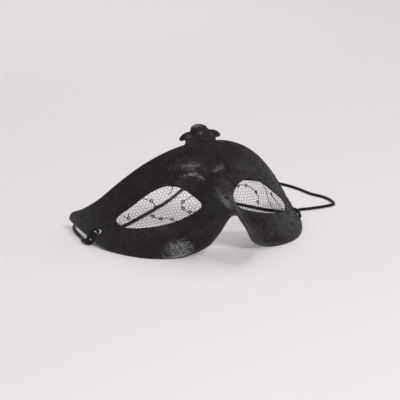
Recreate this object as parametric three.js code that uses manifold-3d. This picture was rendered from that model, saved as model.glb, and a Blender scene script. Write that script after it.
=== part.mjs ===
// A half mask for masquerade: a thin moulded shell with a net lace glued over its front, and a round
// elastic knotted through a slot in each wing. It lies at rest on its lower rim, leaning back.
// Millimetres, +Z up, the face looks along -Y, X is across. s is measured across the face along the
// moulded surface from the centre line, v is measured up the face, and depth is measured inwards.
import * as THREE from 'three';
import { mergeVertices } from 'three/addons/utils/BufferGeometryUtils.js';
import Module from 'manifold-3d';

const wasm = await Module();
wasm.setup();

// Driving dimensions of the moulded form
const LEAN_BACK = THREE.MathUtils.degToRad(28.3);
const RIM_DROP = 32.4; // from the face's own centre down to the table
const TO_CENTRE = 21.2; // moves the outline's middle over the origin
const HALF_SPAN = 128.5; // centre line to wing tip along the surface
const WRAP_RADIUS = 106.3;
const TIP_CURL = 0.061; // radians that the tip turns in beyond the wrap's arc
const WRAP_TAPER = 0.0097; // the wrap deepens by this share for each mm up the face
const FLARE = 0.0018; // the wings widen by this share for each mm down the face
const BROW_RADIUS = 108.7;
const CHEEK_RADIUS = 133.8;
const NOSE = { height: 30.4, width: 9.35, ridge: 4.3, top: 25.9, fall: 43.2 };
const NOSTRIL = { top: -14, fall: 14, wider: 0.42 }; // the nose widens by this share towards its arch
const CHEEK = { height: 8, s: 45.4, v: -23.8, wide: 28.1, tall: 17.3, blend: 4.8 };
const BROW = { height: 3, s: 22, v: 23, wide: 22, tall: 6.2, dip: 6, dipWide: 8 };
const CREST_FOOT = 47; // above this height the surface curls back
const CREST_CURL = 0.04;

// Thicknesses, as depths behind the visible front
const LACE = { front: 0, back: 0.4 };
const SHELL = { front: 1, back: 2.5 };
const LACE_INSET = 0.8;
const LACE_ROOM = { front: -1.5, back: 0.7 }; // what the crest's root keeps clear of

// Half of the outline, from the top centre round the wing to the nose arch, and the eye hole, in (s, v)
const OUTLINE_HALF = [
  [0, 47.5], [17.3, 47], [36.7, 44], [56.2, 38.6], [75.6, 30.8], [94, 23.1], [110, 20.6],
  [124.5, 21.4], [128.5, 17.8], [124.8, 12.2], [111.5, -1.2], [97.2, -16.2], [79.9, -27],
  [62.6, -34.8], [46.4, -38.9], [32.8, -38.5], [18.4, -34.4], [13.5, -29.3], [5.3, -18.6], [0, -16.4],
];
const EYE = [
  [14.3, -1.3], [20.6, 11.3], [34.9, 18.1], [47.5, 17], [66, 9],
  [79.4, 2.2], [74, -5.2], [58.1, -9.9], [41.8, -10.6], [24.2, -6.8],
];
const EYE_CENTRE = new THREE.Vector2(44, 1);

// How finely the faces are cut
const CLOSER = 0.5; // how much closer the steps stand at the wing tip and the nose arch
const OUTLINE_STRETCHES = [
  { to: 8, steps: 18, ease: (u) => u * (1 + CLOSER * (1 - u)) },
  { to: 19, steps: 24, ease: (u) => u - (CLOSER / (2 * Math.PI)) * Math.sin(2 * Math.PI * u) },
];
const OUTLINE_STEPS = 42;
const WALK = 2400; // short steps for measuring along an outline
const MIDLINE_STEPS = 8;
const RINGS = 4;

// The crest: outline and relief in (across, up), from its foot on the top edge
const CREST = { offset: -7, foot: 47, rings: 4, centre: [0, 4.6] };
const CREST_STRETCHES = [{ to: 11, steps: 22, ease: (u) => u }];
const CREST_HALF = [
  [0, -4.5], [11.5, -4], [14.3, -1.5], [13.2, 0.9], [13.4, 2.7], [16.4, 2.8], [18, 4.3],
  [15.9, 6.8], [12.2, 8.5], [8.4, 9.3], [6.1, 13], [0, 15],
];
const DOME = { up: 6.9, radius: 8.1, height: 3.6 };
const PETAL = { across: 12, up: 5.3, wide: 5.8, tall: 3.4, height: 1.8 };
const CREST_SKIN = { root: 1.05, front: 0.3, back: 2.3, rootBack: 2.05 };

// The slots for the elastic
const SLOT = { s: 98, v: -2, length: 10.8, width: 3.8, turn: Math.atan2(0.72, 0.7), reach: 5 };
const SLOT_END_STEPS = 4;
const SLOT_EASE = 0.5; // how much wider the lace is cut

// The elastic: a round cord, its tail, and the knots that hold it at the slots
const CORD_RADIUS = 1.2;
const CORD_SIDES = 8;
const ON_TABLE = 1.25; // height of the cord's centreline where it lies on the table
const CORD_STEPS = 54;
const CORD_ROUTE = [
  [-94.2, 20, 2.3], [-93, 24.2, 2], [-92.1, 30, 1.6], [-91.8, 38.3, ON_TABLE],
  [-91.3, 51, ON_TABLE], [-90, 60, ON_TABLE], [-88.4, 64.2, ON_TABLE], [-86.3, 66.9, ON_TABLE],
  [-83.1, 68.1, ON_TABLE], [-79.7, 67.4, ON_TABLE], [-77.3, 65, ON_TABLE], [-73, 56.8, ON_TABLE],
  [-67.5, 48.5, ON_TABLE], [-60, 45.2, ON_TABLE],
  [-50.2, 50, ON_TABLE], [-39.5, 59.6, ON_TABLE], [-25.5, 72.8, ON_TABLE], [-10.4, 87.8, ON_TABLE],
  [4.8, 103, ON_TABLE], [19.6, 120.3, ON_TABLE], [34.5, 139, ON_TABLE], [52, 155.8, ON_TABLE],
  [75, 164.2, ON_TABLE], [98, 158.8, ON_TABLE], [117, 144.6, ON_TABLE], [129.2, 123, ON_TABLE],
  [134.8, 103.8, ON_TABLE], [137.5, 82, ON_TABLE], [142.4, 68.5, ON_TABLE], [143, 55, ON_TABLE],
  [139.2, 43.6, ON_TABLE], [127.6, 39.8, ON_TABLE], [114.8, 38.6, ON_TABLE], [103, 38.4, ON_TABLE],
  [95.5, 35.2, ON_TABLE], [91, 30.6, 1.6], [88.6, 26.8, 2.6], [87.3, 25.3, 3],
];
const TAIL_STEPS = 14;
const TAIL_ROUTE = [
  [84.8, 26.6, 2.3], [85.9, 31.5, 1.4], [86.4, 37, ON_TABLE], [83.8, 42.6, ON_TABLE],
  [78.4, 47.6, ON_TABLE], [73.7, 54.9, ON_TABLE], [68.7, 63.9, ON_TABLE], [61.6, 76.7, ON_TABLE],
  [58.6, 83, ON_TABLE],
];
const LUMP_SIDES = 8;
const LEFT_LUMP = { centre: [-91.7, 15.1, 2.4], along: [0.5, -0.86, 0], half: [4.4, 2.35, 2.35] };
const RIGHT_LUMP = { centre: [84.4, 21.2, 3.2], along: [0.3, 0.9, -0.1], half: [4, 2.7, 2.7] };
const LOOP_STEPS = 30;
const LOOP_ALONG = { left: 1.9, right: -1.9 }; // where each loop goes through its slot, along the slot
// Round the strip between slot and rim: how far towards the rim, and how deep
const ROUND_STRIP = [
  [1.8, 4.7], [0.45, 4.1], [-0.05, 2.5], [0.05, 1], [0.3, -0.5], [1.15, -1.5], [2.4, -1.8],
];

// The net across the eyes, drawn coarse
const NET = { pitch: 12, strand: 1.2, margin: 1.2, reach: 3, smallest: 6, rows: 4, columns: 8 };

// Where the surface stands across the face: the plan curve, summed up in short steps
const PLAN_STEP = 0.5;
const PLAN = [[0, 0]];
function wrapAngle(s) {
  return s / WRAP_RADIUS + TIP_CURL * (s / HALF_SPAN) ** 4;
}
for (let s = PLAN_STEP / 2; s < HALF_SPAN + 8; s += PLAN_STEP) {
  const [x, z] = PLAN[PLAN.length - 1];
  const turn = wrapAngle(s);
  PLAN.push([x + PLAN_STEP * Math.cos(turn), z - PLAN_STEP * Math.sin(turn)]);
}

function plan(s) {
  const at = Math.abs(s) / PLAN_STEP;
  const i = Math.min(Math.floor(at), PLAN.length - 2);
  const [x0, z0] = PLAN[i];
  const [x1, z1] = PLAN[i + 1];
  return [(x0 + (x1 - x0) * (at - i)) * Math.sign(s), z0 + (z1 - z0) * (at - i)];
}

function swell(u, w) {
  return Math.exp(-u * u - w * w);
}

// How far the moulding stands forward at (s, v), without the wrap
function relief(s, v) {
  const side = Math.sqrt(s * s + CHEEK.blend ** 2);
  const saddle = v > 0 ? (v * v) / (2 * BROW_RADIUS) : (v * v) / (2 * CHEEK_RADIUS);
  const noseRise = NOSE.height * THREE.MathUtils.smoothstep((NOSE.top - v) / NOSE.fall, 0, 1);
  const ridge = Math.sqrt(s * s + NOSE.ridge ** 2) - NOSE.ridge;
  const flare = NOSTRIL.wider * THREE.MathUtils.smoothstep((NOSTRIL.top - v) / NOSTRIL.fall, 0, 1);
  const nose = noseRise * swell(ridge / (NOSE.width * (1 + flare)), 0);
  const cheek = CHEEK.height * swell((side - CHEEK.s) / CHEEK.wide, (v - CHEEK.v) / CHEEK.tall);
  const browLine = BROW.v - BROW.dip * swell(s / BROW.dipWide, 0);
  const brow = BROW.height * swell((side - BROW.s) / BROW.wide, (v - browLine) / BROW.tall);
  const curl = CREST_CURL * Math.max(v - CREST_FOOT, 0) ** 2;
  return saddle + nose + cheek + brow - curl;
}

// Turns a point of the upright face (x across, y up, z forward) into its place as the mask lies
function lay(x, y, z) {
  const sin = Math.sin(LEAN_BACK);
  const cos = Math.cos(LEAN_BACK);
  return new THREE.Vector3(x, y * sin - z * cos - TO_CENTRE, y * cos + z * sin + RIM_DROP);
}

function front(s, v) {
  const [x, z] = plan(s);
  return lay(x * (1 - FLARE * v), v, z * (1 + WRAP_TAPER * v) + relief(s, v));
}

function normal(s, v) {
  const h = 0.25;
  const across = front(s + h, v).sub(front(s - h, v));
  const up = front(s, v + h).sub(front(s, v - h));
  return across.cross(up).normalize();
}

function skin(s, v, depth) {
  return front(s, v).addScaledVector(normal(s, v), -depth);
}

// Curves in (s, v)
function smooth(points, closed) {
  const list = points.map(([a, b]) => new THREE.Vector3(a, b, 0));
  return new THREE.CatmullRomCurve3(list, closed, 'centripetal');
}

function mirrored(half) {
  const other = half.slice(1, -1).reverse().map(([a, b]) => [-a, b]);
  return half.concat(other);
}

// Points along half of a mirrored closed outline, moved inwards by inset, a stretch at a time
function halfOutline(half, stretches, inset) {
  const curve = smooth(mirrored(half), true);
  const walk = [];
  for (let i = 0; i <= WALK; i++) walk.push(curve.getPoint((0.5 * i) / WALK));
  const along = [0];
  for (let i = 1; i <= WALK; i++) along.push(along[i - 1] + walk[i].distanceTo(walk[i - 1]));
  const goals = [0];
  for (const { to, steps, ease } of stretches) {
    const from = goals[goals.length - 1];
    const until = along[Math.round((WALK * to) / (half.length - 1))];
    for (let j = 1; j <= steps; j++) goals.push(from + (until - from) * ease(j / steps));
  }
  let k = 0;
  return goals.map((goal, j) => {
    while (k < WALK - 1 && along[k + 1] < goal) k++;
    const p = walk[k].clone().lerp(walk[k + 1], (goal - along[k]) / (along[k + 1] - along[k]));
    const tangent = walk[k + 1].clone().sub(walk[k]).normalize();
    if (j === 0) return [0, p.y - inset];
    if (j === goals.length - 1) return [0, p.y + inset];
    return [p.x + tangent.y * inset, p.y - tangent.x * inset];
  });
}

// Where the ray from the eye's centre through (s, v) crosses the eye hole's edge
const eyeCurve = smooth(EYE, true);
const EYE_EDGE = eyeCurve.getPoints(720).map((p) => new THREE.Vector2(p.x, p.y).sub(EYE_CENTRE));
function eyeEdge(s, v) {
  const ray = new THREE.Vector2(s, v).sub(EYE_CENTRE).normalize();
  let best = EYE_EDGE[0];
  let most = -2;
  for (const p of EYE_EDGE) {
    const along = p.dot(ray) / p.length();
    if (along > most) {
      most = along;
      best = p;
    }
  }
  return [EYE_CENTRE.x + ray.x * best.length(), EYE_CENTRE.y + ray.y * best.length()];
}

// Rings of (s, v) from the eye's edge out to the lace's edge; the last stretch runs up the centre line
function halfRings() {
  const outer = halfOutline(OUTLINE_HALF, OUTLINE_STRETCHES, LACE_INSET);
  const bottom = outer[OUTLINE_STEPS][1];
  const top = outer[0][1];
  for (let i = 1; i < MIDLINE_STEPS; i++) {
    outer.push([0, bottom + ((top - bottom) * i) / MIDLINE_STEPS]);
  }
  const rings = [];
  for (let r = 0; r <= RINGS; r++) {
    rings.push(outer.map(([s, v]) => {
      const [es, ev] = eyeEdge(s, v);
      return [es + ((s - es) * r) / RINGS, ev + ((v - ev) * r) / RINGS];
    }));
  }
  return rings;
}

// Builds a closed body: sheets of triangles at two depths and a wall along each open edge
class Body {
  constructor() {
    this.position = [];
  }

  triangle(a, b, c) {
    for (const p of [a, b, c]) this.position.push(p.x, p.y, p.z);
  }

  quad(a, b, c, d) {
    this.triangle(a, b, c);
    this.triangle(a, c, d);
  }

  geometry() {
    const geometry = new THREE.BufferGeometry();
    geometry.setAttribute('position', new THREE.Float32BufferAttribute(this.position, 3));
    return geometry;
  }
}

function solidOf(geometry) {
  const bare = geometry.clone();
  bare.deleteAttribute('normal');
  bare.deleteAttribute('uv');
  const whole = mergeVertices(bare, 1e-4);
  const vertProperties = new Float32Array(whole.attributes.position.array);
  const triVerts = new Uint32Array(whole.index.array);
  return new wasm.Manifold(new wasm.Mesh({ numProp: 3, vertProperties, triVerts }));
}

function geometryOf(solid) {
  const mesh = solid.getMesh();
  const geometry = new THREE.BufferGeometry();
  geometry.setAttribute('position', new THREE.BufferAttribute(new Float32Array(mesh.vertProperties), 3));
  geometry.setIndex(new THREE.BufferAttribute(new Uint32Array(mesh.triVerts), 1));
  geometry.computeVertexNormals();
  return geometry;
}

// How far a straight line between two ring points stands off the surface
function bulge([ringA, i], [ringB, j]) {
  const [sa, va] = ringA[i % ringA.length];
  const [sb, vb] = ringB[j % ringB.length];
  const middle = front(sa, va).add(front(sb, vb)).multiplyScalar(0.5);
  return middle.distanceTo(front((sa + sb) / 2, (va + vb) / 2));
}

// Half of a sheet between two depths, on the side 1 or -1. A shell leaves the eye hole open and has one
// more strip, out to its own rim; the lace is closed across the eye and ends at the rings' edge.
function halfSheet(body, rings, side, depths, rim) {
  const count = rings[0].length;
  const { front: f, back: b } = depths;
  const at = (ring, i, depth) => {
    const [s, v] = ring[i % ring.length];
    return skin(side * s, v, depth);
  };
  const tri = (p, q, r) => (side > 0 ? body.triangle(p, q, r) : body.triangle(r, q, p));
  const face = (p, q, r, s) => {
    tri(p, q, r);
    tri(p, r, s);
  };
  const strip = (inner, outer, i) => {
    const corners = [[inner, i], [inner, i + 1], [outer, i + 1], [outer, i]];
    if (bulge(corners[1], corners[3]) < bulge(corners[0], corners[2])) corners.push(corners.shift());
    face(...corners.map(([ring, k]) => at(ring, k, f)));
    const [p, q, r, s] = corners.map(([ring, k]) => at(ring, k, b));
    tri(p, r, q);
    tri(p, s, r);
  };
  const wall = (ring, i) => {
    face(at(ring, i, f), at(ring, i + 1, f), at(ring, i + 1, b), at(ring, i, b));
  };
  const first = rings[0];
  const last = rings[rings.length - 1];
  const centre = (depth) => skin(side * EYE_CENTRE.x, EYE_CENTRE.y, depth);
  for (let i = 0; i < count; i++) {
    for (let r = 0; r + 1 < rings.length; r++) strip(rings[r], rings[r + 1], i);
    if (rim) {
      face(at(first, i, f), at(first, i, b), at(first, i + 1, b), at(first, i + 1, f));
    } else {
      tri(centre(f), at(first, i + 1, f), at(first, i, f));
      tri(centre(b), at(first, i, b), at(first, i + 1, b));
    }
    if (i >= OUTLINE_STEPS) continue;
    if (rim) strip(last, rim, i);
    wall(rim || last, i);
  }
}

function sheet(depths, rim) {
  const body = new Body();
  const rings = halfRings();
  halfSheet(body, rings, 1, depths, rim);
  halfSheet(body, rings, -1, depths, rim);
  return solidOf(body.geometry());
}

// A straight prism through the mask at (s, v): its section lies in the surface, its length along the normal
function prismThrough(section, s, v, reach) {
  const shape = new THREE.Shape(section.map(([a, b]) => new THREE.Vector2(a, b)));
  const geometry = new THREE.ExtrudeGeometry(shape, { depth: 2 * reach, bevelEnabled: false });
  geometry.translate(0, 0, -reach);
  const z = normal(s, v);
  const up = front(s, v + 0.5).sub(front(s, v - 0.5)).normalize();
  const x = up.clone().cross(z).normalize();
  const y = z.clone().cross(x);
  const place = new THREE.Matrix4().makeBasis(x, y, z).setPosition(skin(s, v, SHELL.front));
  geometry.applyMatrix4(place);
  return solidOf(geometry);
}

function slotSection(side, ease) {
  const half = (SLOT.length - SLOT.width) / 2;
  const radius = SLOT.width / 2 + ease;
  const ends = [];
  for (const way of [1, -1]) {
    for (let i = 0; i <= SLOT_END_STEPS; i++) {
      ends.push([way * half, (-way * Math.PI) / 2 + (Math.PI * i) / SLOT_END_STEPS]);
    }
  }
  const turn = side * SLOT.turn + (side < 0 ? Math.PI : 0);
  return ends.map(([shift, angle]) => {
    const [a, b] = [shift + radius * Math.cos(angle), radius * Math.sin(angle)];
    return [a * Math.cos(turn) - b * Math.sin(turn), a * Math.sin(turn) + b * Math.cos(turn)];
  });
}

function cutSlots(solid, ease) {
  let cut = solid;
  for (const side of [-1, 1]) {
    cut = cut.subtract(prismThrough(slotSection(side, ease), side * SLOT.s, SLOT.v, SLOT.reach));
  }
  return cut;
}

// The crest's front: a domed middle lobe with a leaf curling down on each side
function crestRelief(a, b) {
  const r = Math.hypot(a, b - DOME.up) / DOME.radius;
  const dome = r < 1 ? DOME.height * Math.sqrt(1 - r * r) : 0;
  const out = (Math.abs(a) - PETAL.across) / PETAL.wide;
  const petal = PETAL.height * swell(out, (b - PETAL.up) / PETAL.tall);
  return Math.max(dome, petal);
}

function crestPoint(a, b, face) {
  const rise = THREE.MathUtils.smoothstep(b, 0, 1.6);
  const frontDepth = CREST_SKIN.root + (CREST_SKIN.front - CREST_SKIN.root) * rise;
  const backDepth = CREST_SKIN.rootBack + (CREST_SKIN.back - CREST_SKIN.rootBack) * rise;
  const depth = face === 'front' ? frontDepth - rise * crestRelief(a, b) : backDepth;
  return skin(CREST.offset + a, CREST.foot + b, depth);
}

function crest() {
  const edge = halfOutline(CREST_HALF, CREST_STRETCHES, 0);
  const loop = edge.concat(edge.slice(1, -1).reverse().map(([a, b]) => [-a, b]));
  const [ca, cb] = CREST.centre;
  const body = new Body();
  const at = (i, r, face) => {
    const [a, b] = loop[i % loop.length];
    return crestPoint(ca + ((a - ca) * r) / CREST.rings, cb + ((b - cb) * r) / CREST.rings, face);
  };
  for (let i = 0; i < loop.length; i++) {
    body.triangle(at(i, 0, 'front'), at(i, 1, 'front'), at(i + 1, 1, 'front'));
    body.triangle(at(i, 0, 'back'), at(i + 1, 1, 'back'), at(i, 1, 'back'));
    for (let r = 1; r < CREST.rings; r++) {
      body.quad(at(i, r, 'front'), at(i, r + 1, 'front'), at(i + 1, r + 1, 'front'), at(i + 1, r, 'front'));
      body.quad(at(i, r, 'back'), at(i + 1, r, 'back'), at(i + 1, r + 1, 'back'), at(i, r + 1, 'back'));
    }
    const last = CREST.rings;
    body.quad(at(i, last, 'back'), at(i + 1, last, 'back'), at(i + 1, last, 'front'), at(i, last, 'front'));
  }
  return solidOf(body.geometry());
}

// Everything below the table plane is cut away, which leaves the flat strips that the mask lies on
function trimToTable(solid) {
  const block = new THREE.BoxGeometry(400, 400, 40);
  block.translate(0, 0, -20);
  return solid.subtract(solidOf(block));
}

function maskShell() {
  const rim = halfOutline(OUTLINE_HALF, OUTLINE_STRETCHES, 0);
  const moulded = sheet(SHELL, rim).add(crest().subtract(sheet(LACE_ROOM)));
  return trimToTable(cutSlots(moulded, 0));
}

// The net's cells inside one eye, as six-sided prisms to cut out of the lace
function netCells(side) {
  const cells = [];
  const rowStep = NET.pitch * Math.sin(Math.PI / 3);
  const radius = (NET.pitch - NET.strand) / 2 / Math.cos(Math.PI / 6);
  for (let row = -NET.rows; row <= NET.rows; row++) {
    for (let column = -NET.columns; column <= NET.columns; column++) {
      const s = EYE_CENTRE.x + (column + (row % 2) / 2) * NET.pitch;
      const v = EYE_CENTRE.y + row * rowStep;
      if (pullInside(new THREE.Vector2(s, v)).x !== s) continue;
      const corners = [];
      for (let k = 0; k < 6; k++) {
        const angle = Math.PI / 6 + (Math.PI * k) / 3;
        const c = pullInside(new THREE.Vector2(s + radius * Math.cos(angle), v + radius * Math.sin(angle)));
        const clear = corners.every((other) => other.distanceTo(c) > NET.strand / 2);
        if (clear) corners.push(c);
      }
      if (corners.length < 3 || THREE.ShapeUtils.area(corners) < NET.smallest) continue;
      const section = corners.map((c) => [side * (c.x - s), c.y - v]);
      if (side < 0) section.reverse();
      cells.push(prismThrough(section, side * s, v, NET.reach));
    }
  }
  return cells;
}

// A point outside the eye hole's margin is brought back to it, towards the eye's centre
function pullInside(point) {
  const ray = point.clone().sub(EYE_CENTRE);
  const [es, ev] = eyeEdge(point.x, point.y);
  const limit = Math.hypot(es - EYE_CENTRE.x, ev - EYE_CENTRE.y) - NET.margin;
  if (ray.length() <= limit) return point;
  return ray.setLength(limit).add(EYE_CENTRE);
}

function laceCover() {
  let lace = cutSlots(sheet(LACE), SLOT_EASE);
  for (const side of [-1, 1]) {
    for (const cell of netCells(side)) lace = lace.subtract(cell);
  }
  return trimToTable(lace);
}

// A round cord along a route
function tube(route, steps) {
  const section = new THREE.Shape();
  for (let i = 0; i < CORD_SIDES; i++) {
    const angle = (2 * Math.PI * (i + 0.5)) / CORD_SIDES;
    const point = [CORD_RADIUS * Math.cos(angle), CORD_RADIUS * Math.sin(angle)];
    if (i === 0) section.moveTo(...point);
    else section.lineTo(...point);
  }
  const points = route.map((p) => (p.isVector3 ? p : new THREE.Vector3(...p)));
  const path = new THREE.CatmullRomCurve3(points, false, 'centripetal');
  return new THREE.ExtrudeGeometry(section, { steps, bevelEnabled: false, extrudePath: path });
}

// A pulled-tight knot as a smooth lump, long along its own axis
function lump({ centre, along, half }) {
  const geometry = new THREE.SphereGeometry(1, LUMP_SIDES, LUMP_SIDES / 2);
  geometry.rotateZ(-Math.PI / 2);
  geometry.scale(...half);
  const x = new THREE.Vector3(...along).normalize();
  const y = new THREE.Vector3(0, 0, 1).cross(x).normalize();
  const z = x.clone().cross(y);
  geometry.applyMatrix4(new THREE.Matrix4().makeBasis(x, y, z).setPosition(...centre));
  return geometry;
}

// Points of a loop near its slot, each given by how far it lies from the slot's middle line towards the
// rim and by its depth
function overStrip(side, along, steps) {
  const [cos, sin] = [Math.cos(SLOT.turn), Math.sin(SLOT.turn)];
  return steps.map(([across, depth]) => {
    return skin(side * (SLOT.s + along * cos + across * sin), SLOT.v + along * sin - across * cos, depth);
  });
}

// Each knot holds a loop that goes up inside the wing, out through the slot, down the front and over the rim
function leftKnot() {
  const loop = [
    new THREE.Vector3(-90.4, 15.6, 1.7), new THREE.Vector3(-88.6, 16.4, 1.4),
    new THREE.Vector3(-86.6, 17.2, 1.6), new THREE.Vector3(-85.4, 17.4, 2.9),
    ...overStrip(-1, LOOP_ALONG.left, [[6.3, 4.3], [4, 4.15], ...ROUND_STRIP, [5.5, -1.8], [8.3, -2.1]]),
    new THREE.Vector3(-92, 14.9, 3.4),
  ];
  return solidOf(tube(loop, LOOP_STEPS)).add(solidOf(lump(LEFT_LUMP)));
}

function rightKnot() {
  const loop = [
    new THREE.Vector3(84, 19, 4.2),
    ...overStrip(1, LOOP_ALONG.right, [[4, 5], ...ROUND_STRIP, [4.6, -1.65]]),
    skin(104.4, -8.4, -1.75), new THREE.Vector3(91.6, 13.8, 2.7), new THREE.Vector3(90, 16.6, 1.5),
    new THREE.Vector3(86.6, 19.4, 2.4),
  ];
  return solidOf(tube(loop, LOOP_STEPS)).add(solidOf(lump(RIGHT_LUMP)));
}

const MATERIALS = {
  shell: new THREE.MeshStandardMaterial({ color: 0x1c1917, roughness: 0.45, metalness: 0 }),
  lace: new THREE.MeshStandardMaterial({ color: 0x15130f, roughness: 0.7, metalness: 0 }),
  elastic: new THREE.MeshStandardMaterial({ color: 0x141212, roughness: 0.8, metalness: 0 }),
};

function named(name, geometry, material) {
  const mesh = new THREE.Mesh(geometry, material);
  mesh.name = name;
  return mesh;
}

const mask = new THREE.Group();
mask.add(named('mask_shell', geometryOf(maskShell()), MATERIALS.shell));
mask.add(named('lace_cover', geometryOf(laceCover()), MATERIALS.lace));
mask.add(named('elastic_knot_left', geometryOf(leftKnot()), MATERIALS.elastic));
mask.add(named('elastic_cord', tube(CORD_ROUTE, CORD_STEPS), MATERIALS.elastic));
mask.add(named('elastic_knot_right', geometryOf(rightKnot()), MATERIALS.elastic));
mask.add(named('elastic_tail', tube(TAIL_ROUTE, TAIL_STEPS), MATERIALS.elastic));

export default mask;
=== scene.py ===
import bpy
import bmesh
import numpy as np
from mathutils import Matrix, Vector


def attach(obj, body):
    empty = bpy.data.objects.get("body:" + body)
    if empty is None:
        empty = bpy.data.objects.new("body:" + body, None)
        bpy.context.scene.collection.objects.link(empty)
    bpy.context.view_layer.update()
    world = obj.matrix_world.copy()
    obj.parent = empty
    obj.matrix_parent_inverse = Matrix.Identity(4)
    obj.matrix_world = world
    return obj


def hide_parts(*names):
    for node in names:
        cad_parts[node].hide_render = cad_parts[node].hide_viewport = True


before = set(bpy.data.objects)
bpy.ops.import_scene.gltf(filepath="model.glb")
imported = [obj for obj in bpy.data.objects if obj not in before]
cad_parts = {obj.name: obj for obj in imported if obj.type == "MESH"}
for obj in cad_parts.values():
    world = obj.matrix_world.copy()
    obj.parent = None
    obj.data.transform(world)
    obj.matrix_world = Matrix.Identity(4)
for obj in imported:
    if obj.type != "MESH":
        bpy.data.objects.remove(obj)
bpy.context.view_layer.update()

# Camera. A long lens a little above the table, on the side of the wearer's right cheek, looks at the
# middle of the mask, which lies on its lower rim.
MM = 0.001
PICTURE_WIDTH = 36.0
CAMERA_LENS = 97.86
CAMERA_DISTANCE = 831.4
CAMERA_AZIMUTH = np.radians(-22.25)
CAMERA_HEIGHT = np.radians(15.17)
CAMERA_TARGET = np.array([-10.87, -15.96, 35.13])
CAMERA_NEAR = 0.01

sin_a, cos_a = np.sin(CAMERA_AZIMUTH), np.cos(CAMERA_AZIMUTH)
sin_h, cos_h = np.sin(CAMERA_HEIGHT), np.cos(CAMERA_HEIGHT)
camera_back = np.array([sin_a * cos_h, -cos_a * cos_h, sin_h])
camera_right = np.array([cos_a, sin_a, 0.0])
camera_up = np.cross(camera_back, camera_right)
camera_data = bpy.data.cameras.new("camera")
camera_data.sensor_width = PICTURE_WIDTH
camera_data.lens = CAMERA_LENS
camera_data.clip_start = CAMERA_NEAR
camera = bpy.data.objects.new("camera", camera_data)
bpy.context.scene.collection.objects.link(camera)
turn = np.stack([camera_right, camera_up, camera_back], axis=1)
camera.matrix_world = Matrix.LocRotScale(
    Vector((CAMERA_TARGET + camera_back * CAMERA_DISTANCE) * MM), Matrix(turn).to_quaternion(), None
)
bpy.context.scene.camera = camera

# Elastic. One round braided elastic, 2.4 mm thick, about half a metre long. It lies loose on the table
# behind the mask, from the knot at the left wing round to the knot inside the right wing, and its cut
# tail lies on the table beside that one.
ELASTIC_RADIUS = 1.2
ON_TABLE = 1.25  # height of its middle where it lies on the table
ELASTIC_STRANDS = 8
ELASTIC_PLAIT = 4.4  # mm of length in which a strand goes once round
STRAND_RISE = 0.03  # how far a strand stands up, as a share of the radius
TUBE_STEP = 0.36
TUBE_SIDES = 16
CAP_RINGS = 4
ELASTIC_ROUTE = [
    (-94.2, 20, 2.3), (-93, 24.2, 2), (-92.1, 30, 1.6), (-91.8, 38.3, ON_TABLE),
    (-91.3, 51, ON_TABLE), (-90, 60, ON_TABLE), (-88.4, 64.2, ON_TABLE), (-86.3, 66.9, ON_TABLE),
    (-83.1, 68.1, ON_TABLE), (-79.7, 67.4, ON_TABLE), (-77.3, 65, ON_TABLE), (-73, 56.8, ON_TABLE),
    (-67.5, 48.5, ON_TABLE), (-60, 45.2, ON_TABLE), (-50.2, 50, ON_TABLE), (-39.5, 59.6, ON_TABLE),
    (-25.5, 72.8, ON_TABLE), (-10.4, 87.8, ON_TABLE), (4.8, 103, ON_TABLE), (19.6, 120.3, ON_TABLE),
    (34.5, 139, ON_TABLE), (52, 155.8, ON_TABLE), (75, 164.2, ON_TABLE), (98, 158.8, ON_TABLE),
    (117, 144.6, ON_TABLE), (129.2, 123, ON_TABLE), (134.8, 103.8, ON_TABLE), (137.5, 82, ON_TABLE),
    (142.4, 68.5, ON_TABLE), (143, 55, ON_TABLE), (139.2, 43.6, ON_TABLE), (127.6, 39.8, ON_TABLE),
    (114.8, 38.6, ON_TABLE), (103, 38.4, ON_TABLE), (95.5, 35.2, ON_TABLE), (91, 30.6, 1.6),
    (88.6, 26.8, 2.6), (87.3, 25.3, 3),
]
TAIL_ROUTE = [
    (84.8, 26.6, 2.3), (85.9, 31.5, 1.4), (86.4, 37, ON_TABLE), (83.8, 42.6, ON_TABLE),
    (78.4, 47.6, ON_TABLE), (73.7, 54.9, ON_TABLE), (68.7, 63.9, ON_TABLE), (61.6, 76.7, ON_TABLE),
    (58.6, 83, ON_TABLE),
]
UPWARDS = np.array([0.0, 0.0, 1.0])
MERGE_WITHIN = 2e-6  # metres
SHORTEST_EDGE = 1e-7  # metres


def curve_through(points, closed=False, per_span=40):
    """A centripetal Catmull-Rom curve: each span is a cubic whose end slopes come from its four
    neighbours, with the square roots of their distances as the spacing. Returns dense points."""
    p = np.asarray(points, float)
    if closed:
        p = np.vstack([p[-1:], p, p[:2]])
    else:
        p = np.vstack([2 * p[:1] - p[1:2], p, 2 * p[-1:] - p[-2:-1]])
    p0, p1, p2, p3 = p[:-3], p[1:-2], p[2:-1], p[3:]
    spans = ((p0, p1), (p1, p2), (p2, p3))
    d0, d1, d2 = (np.sqrt(np.linalg.norm(b - a, axis=1))[:, None] for a, b in spans)
    slope1 = ((p1 - p0) / d0 - (p2 - p0) / (d0 + d1) + (p2 - p1) / d1) * d1
    slope2 = ((p2 - p1) / d1 - (p3 - p1) / (d1 + d2) + (p3 - p2) / d2) * d1
    t = (np.arange(per_span) / per_span)[None, :, None]
    a, b, m, n = (x[:, None, :] for x in (p1, p2, slope1, slope2))
    cubic = a + m * t + (3 * (b - a) - 2 * m - n) * t**2 + (2 * (a - b) + m + n) * t**3
    dense = cubic.reshape(-1, p.shape[1])
    return dense if closed else np.vstack([dense, p[-2:-1]])


def evenly(line, step):
    """The same line with its points a step apart along its length, ends kept. Also the running length."""
    along = np.r_[0, np.cumsum(np.linalg.norm(np.diff(line, axis=0), axis=1))]
    goals = np.linspace(0, along[-1], max(int(round(along[-1] / step)), 2) + 1)
    return np.stack([np.interp(goals, along, line[:, k]) for k in range(line.shape[1])], axis=1), goals


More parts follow.
